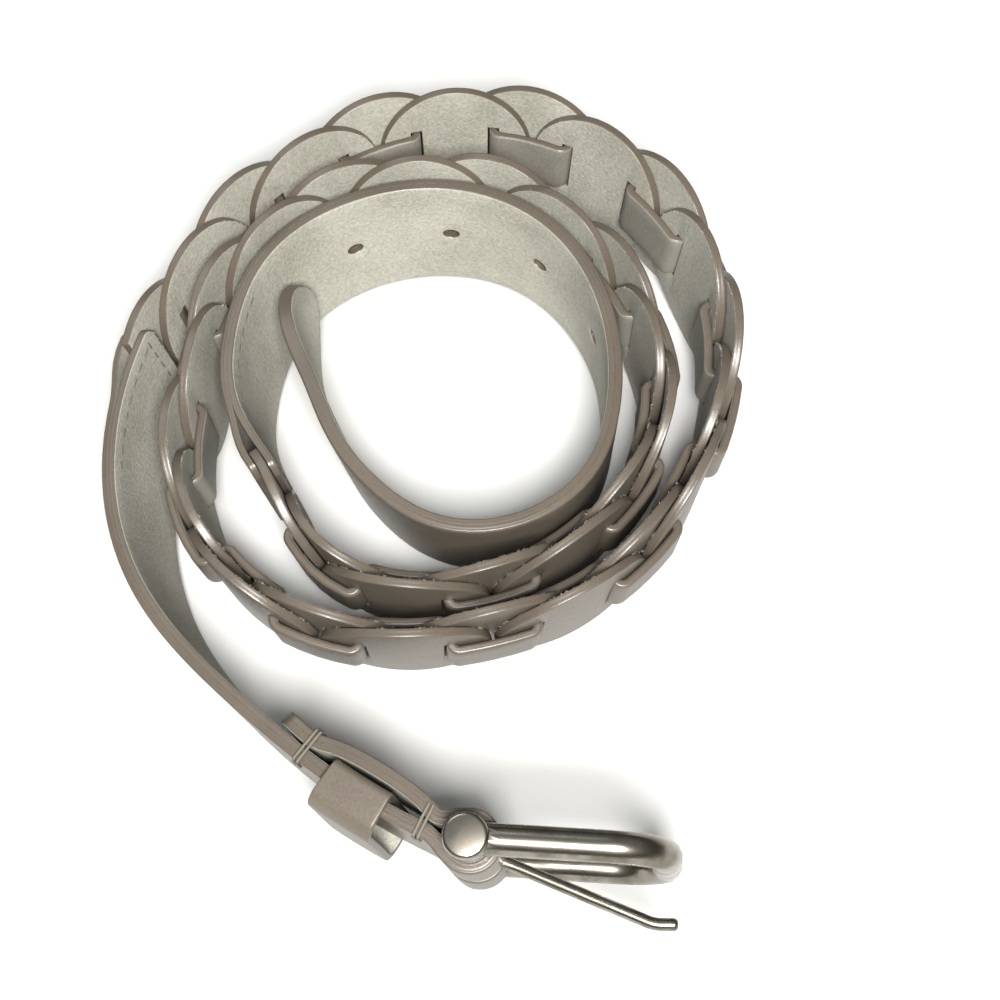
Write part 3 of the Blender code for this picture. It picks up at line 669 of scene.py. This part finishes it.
def rod_through(points, radius, sizes=None):
    """Round rod through points, as thick at each of them as its sizes say."""
    path = bpy.data.curves.new("rod", "CURVE")
    path.dimensions = "3D"
    path.bevel_depth = radius
    path.bevel_resolution = 5
    path.use_fill_caps = True
    line = path.splines.new("POLY")
    line.points.add(len(points) - 1)
    for number, place in enumerate(points):
        line.points[number].co = (*place, 1)
        line.points[number].radius = sizes[number] if sizes else 1
    made = bpy.data.objects.new("rod", path)
    bpy.context.scene.collection.objects.link(made)
    take_up(made)
    bpy.ops.object.convert(target="MESH")
    return bpy.context.object


for name, back, inner_face in (("near_tack", NEAR_TACK + 0.0005, -touch - STRAP_THICKNESS / 2),
                               ("far_tack", FAR_TACK + 0.0006, -touch - STRAP_THICKNESS / 2 - 0.0005)):
    turns_of_thread = []
    for wrap_turn in (0, 1):
        along = BAR_PLACE - back - wrap_turn * TURN_SPACING
        top = STRAP_WIDTH / 2 + THREAD_RADIUS
        outer_face = STRAP_THICKNESS / 2 + THREAD_RADIUS
        inner = inner_face - THREAD_RADIUS
        path = [(along, outer_face - sunk, top - below) for sunk, below in THREAD_DIVE]
        for share in np.linspace(0.05, 0.95, 9):
            path.append((along, outer_face + (inner - outer_face) * share, top))
        path += [(along, inner + sunk, top - below) for sunk, below in reversed(THREAD_DIVE)]
        turns_of_thread.append(rod_through(path, THREAD_RADIUS))
    tack = turns_of_thread[0]
    take_up(turns_of_thread[1], tack)
    bpy.ops.object.join()
    tack.data.materials.clear()
    tack.data.materials.append(waxed_thread)
    lay_on_coil(tack)
    settle(tack, name, "buckle_strap_outer_ply", "belt", 60)


# Keeper: a closed band of the same leather that slides on the buckle strap and
# takes the strap's end.
KEEPER_WIDTH = 0.0113
KEEPER_THICKNESS = 0.0013
KEEPER_PLACE = BAR_PLACE - 0.0198
KEEPER_ROOM = 0.0032
KEEPER_FIT = 0.0004
OUTER_CORNER = 0.0022
INNER_CORNER = 0.0003
near = STRAP_THICKNESS / 2 + LAYER_GAP
far = STRAP_THICKNESS / 2 + KEEPER_ROOM
high = STRAP_WIDTH / 2 + KEEPER_FIT
bpy.ops.mesh.primitive_cube_add(size=1, location=(KEEPER_PLACE, (far - near) / 2, 0),
                                scale=(KEEPER_WIDTH, far + near, 2 * high))
keeper = bpy.context.object
bpy.ops.object.transform_apply(location=True, rotation=False, scale=True)
for reach, corner in ((far, OUTER_CORNER), (-near, INNER_CORNER)):
    bpy.ops.object.mode_set(mode="EDIT")
    bpy.ops.mesh.select_mode(type="EDGE")
    bpy.ops.mesh.select_all(action="DESELECT")
    bpy.ops.object.mode_set(mode="OBJECT")
    for edge in keeper.data.edges:
        first, second = (keeper.data.vertices[number].co for number in edge.vertices)
        edge.select = (abs(first.x - second.x) > KEEPER_WIDTH / 2 and abs(first.y - reach) < 1e-5
                       and abs(abs(first.z) - high) < 1e-5)
    bpy.ops.object.mode_set(mode="EDIT")
    bpy.ops.mesh.bevel(offset=corner, segments=8)
    bpy.ops.object.mode_set(mode="OBJECT")
bpy.ops.object.mode_set(mode="EDIT")
bpy.ops.mesh.select_mode(type="FACE")
bpy.ops.mesh.select_all(action="DESELECT")
bpy.ops.object.mode_set(mode="OBJECT")
for face in keeper.data.polygons:
    face.select = abs(face.normal.x) > 0.9
bpy.ops.object.mode_set(mode="EDIT")
bpy.ops.mesh.delete(type="FACE")
bpy.ops.object.mode_set(mode="OBJECT")
finish_modifier(keeper, "SOLIDIFY", thickness=KEEPER_THICKNESS, offset=1)
finish_modifier(keeper, "BEVEL", width=0.0003, segments=3, limit_method="ANGLE",
                angle_limit=math.radians(60))
slice_across(keeper, KEEPER_PLACE + np.linspace(-0.005, 0.005, 7))
keeper.data.materials.clear()
for surface in (grain_leather, flesh_leather, edge_leather):
    keeper.data.materials.append(surface)
middle = Vector((0, (far - near) / 2, 0))
for face in keeper.data.polygons:
    out = face.center - middle
    faces_out = face.normal.y * out.y + face.normal.z * out.z > 0
    face.material_index = 2 if abs(face.normal.x) > 0.3 else 0 if faces_out else 1
keeper.data.attributes.new("across", "FLOAT", "POINT")
lay_on_coil(keeper)
settle(keeper, "keeper_band", "keeper")


# Buckle frame: a horseshoe bent from steel rod, joined to a bar with two caps, polished
# and nickel plated. The plate has gone slightly grey and holds fine scratches.
nickel = bpy.data.materials.new("nickel_plate")
nickel.use_nodes = True
nickel_tree = nickel.node_tree
nickel_shader = nickel_tree.nodes["Principled BSDF"]
nickel_shader.inputs["Metallic"].default_value = 1
nickel_place = add_node(nickel_tree, "ShaderNodeTexCoord").outputs["Object"]
tarnish = add_node(nickel_tree, "ShaderNodeTexNoise", {"Vector": nickel_place, "Scale": 1 / 0.004,
                                                       "Detail": 5})
tone = add_node(nickel_tree, "ShaderNodeValToRGB", {"Fac": tarnish.outputs["Fac"]})
tone.color_ramp.elements[0].position = 0.35
tone.color_ramp.elements[0].color = linear("#6d685e")
tone.color_ramp.elements[1].position = 0.65
tone.color_ramp.elements[1].color = linear("#99958b")
nickel_tree.links.new(tone.outputs["Color"], nickel_shader.inputs["Base Color"])
wear = add_node(nickel_tree, "ShaderNodeMapRange", {"Value": tarnish.outputs["Fac"], "From Min": 0.3,
                                                    "From Max": 0.7, "To Min": 0.34, "To Max": 0.2})
nickel_tree.links.new(wear.outputs["Result"], nickel_shader.inputs["Roughness"])
scratches = add_node(nickel_tree, "ShaderNodeTexNoise", {"Vector": nickel_place, "Scale": 1 / 0.0003,
                                                         "Detail": 3})
scratch_bump = add_node(nickel_tree, "ShaderNodeBump", {"Strength": 0.12, "Distance": 0.00004,
                                                        "Height": scratches.outputs["Fac"]})
nickel_tree.links.new(scratch_bump.outputs["Normal"], nickel_shader.inputs["Normal"])

ROD_RADIUS = 0.00265
ARM_HEIGHT = STRAP_WIDTH / 2 + 0.0006 + ROD_RADIUS
FRAME_LENGTH = 0.034
FRAME_CORNER = 0.009
CAP_RADIUS = 0.00375
CAP_FOOT = ARM_HEIGHT - ROD_RADIUS
CAP_TOP = ARM_HEIGHT + ROD_RADIUS + 0.0012
FRAME_SWING = 17.5


def stand_on_bar(piece, swing):
    """Moves a piece from its own bar at the origin to the strap's fold."""
    middle, high = (Vector(place) for place in wall_points(
        np.full(2, BAR_PLACE), np.full(2, bar_level), np.array([0, STRAP_WIDTH / 2])))
    up = (high - middle).normalized()
    ahead, behind = (Vector(place) for place in wall_points(
        np.array([BAR_PLACE + 0.0015, BAR_PLACE - 0.0015]), np.zeros(2), np.full(2, -DISC_RADIUS)))
    forward = Vector((ahead.x - behind.x, ahead.y - behind.y, 0)).normalized()
    side = up.cross(forward).normalized()
    turned = Matrix((side.cross(up), side, up)).transposed().to_4x4()
    piece.data.transform(Matrix.Translation(middle) @ turned @ Matrix.Rotation(math.radians(swing), 4, "Z"))


corner_x = FRAME_LENGTH - ROD_RADIUS - FRAME_CORNER
half = [(x, 0, ARM_HEIGHT) for x in np.linspace(0, corner_x * 0.94, 8)]
for degrees in range(90, -1, -6):
    angle = math.radians(degrees)
    half.append((corner_x + FRAME_CORNER * math.cos(angle), 0,
                 ARM_HEIGHT - FRAME_CORNER + FRAME_CORNER * math.sin(angle)))
buckle = rod_through(half + [(x, y, -z) for x, y, z in reversed(half)], ROD_RADIUS)
bpy.ops.mesh.primitive_cylinder_add(vertices=40, radius=BAR_RADIUS, depth=2 * ARM_HEIGHT)
bar = bpy.context.object
finish_modifier(buckle, "BOOLEAN", operation="UNION", solver="EXACT", object=bar)
bpy.data.objects.remove(bar)
for side in (-1, 1):
    bpy.ops.mesh.primitive_cylinder_add(vertices=56, radius=CAP_RADIUS, depth=CAP_TOP - CAP_FOOT,
                                        location=(0, 0, side * (CAP_TOP + CAP_FOOT) / 2))
    cap = bpy.context.object
    bpy.ops.object.transform_apply(location=True, rotation=False, scale=False)
    finish_modifier(cap, "BEVEL", width=0.0007, segments=4, limit_method="ANGLE",
                    angle_limit=math.radians(50))
    finish_modifier(buckle, "BOOLEAN", operation="UNION", solver="EXACT", object=cap)
    bpy.data.objects.remove(cap)
buckle.data.materials.clear()
buckle.data.materials.append(nickel)
stand_on_bar(buckle, FRAME_SWING)
settle(buckle, "horseshoe_buckle", "buckle_frame", "buckle", 50)


# Prong: nickel-plated steel wire, one end bent round the bar into an eye and the
# other kicked up and rounded off.
WIRE_RADIUS = 0.00105
PRONG_LENGTH = 0.0355
PRONG_TIP = 0.004
PRONG_SWING = -1.5
TIP_BEND = 22
TIP_BEND_RADIUS = 0.0064
eye = BAR_RADIUS + BAR_CLEARANCE + WIRE_RADIUS
bpy.ops.mesh.primitive_torus_add(major_radius=eye, minor_radius=WIRE_RADIUS, major_segments=48,
                                 minor_segments=20)
prong = bpy.context.object
straight = PRONG_LENGTH - PRONG_TIP
wire_line = [(x, 0, 0) for x in np.linspace(eye, straight - 0.0015, 7)]
for degrees in range(0, TIP_BEND + 1, 2):
    angle = math.radians(degrees)
    wire_line.append((straight - 0.0012 + TIP_BEND_RADIUS * math.sin(angle),
                      TIP_BEND_RADIUS * (1 - math.cos(angle)), 0))
tip_way = Vector((math.cos(math.radians(TIP_BEND)), math.sin(math.radians(TIP_BEND)), 0))
last = Vector(wire_line[-1])
reach = PRONG_TIP - 0.0013
sizes = [1] * len(wire_line)
for share, size in ((0.7, 1), (0.82, 0.96), (0.91, 0.82), (0.97, 0.58), (1.0, 0.25)):
    wire_line.append(last + tip_way * reach * share)
    sizes.append(size)
wire = rod_through(wire_line, WIRE_RADIUS, sizes)
finish_modifier(prong, "BOOLEAN", operation="UNION", solver="EXACT", object=wire)
bpy.data.objects.remove(wire)
prong.data.materials.clear()
prong.data.materials.append(nickel)
stand_on_bar(prong, PRONG_SWING)
settle(prong, "wire_prong", "prong", "prong", 50)
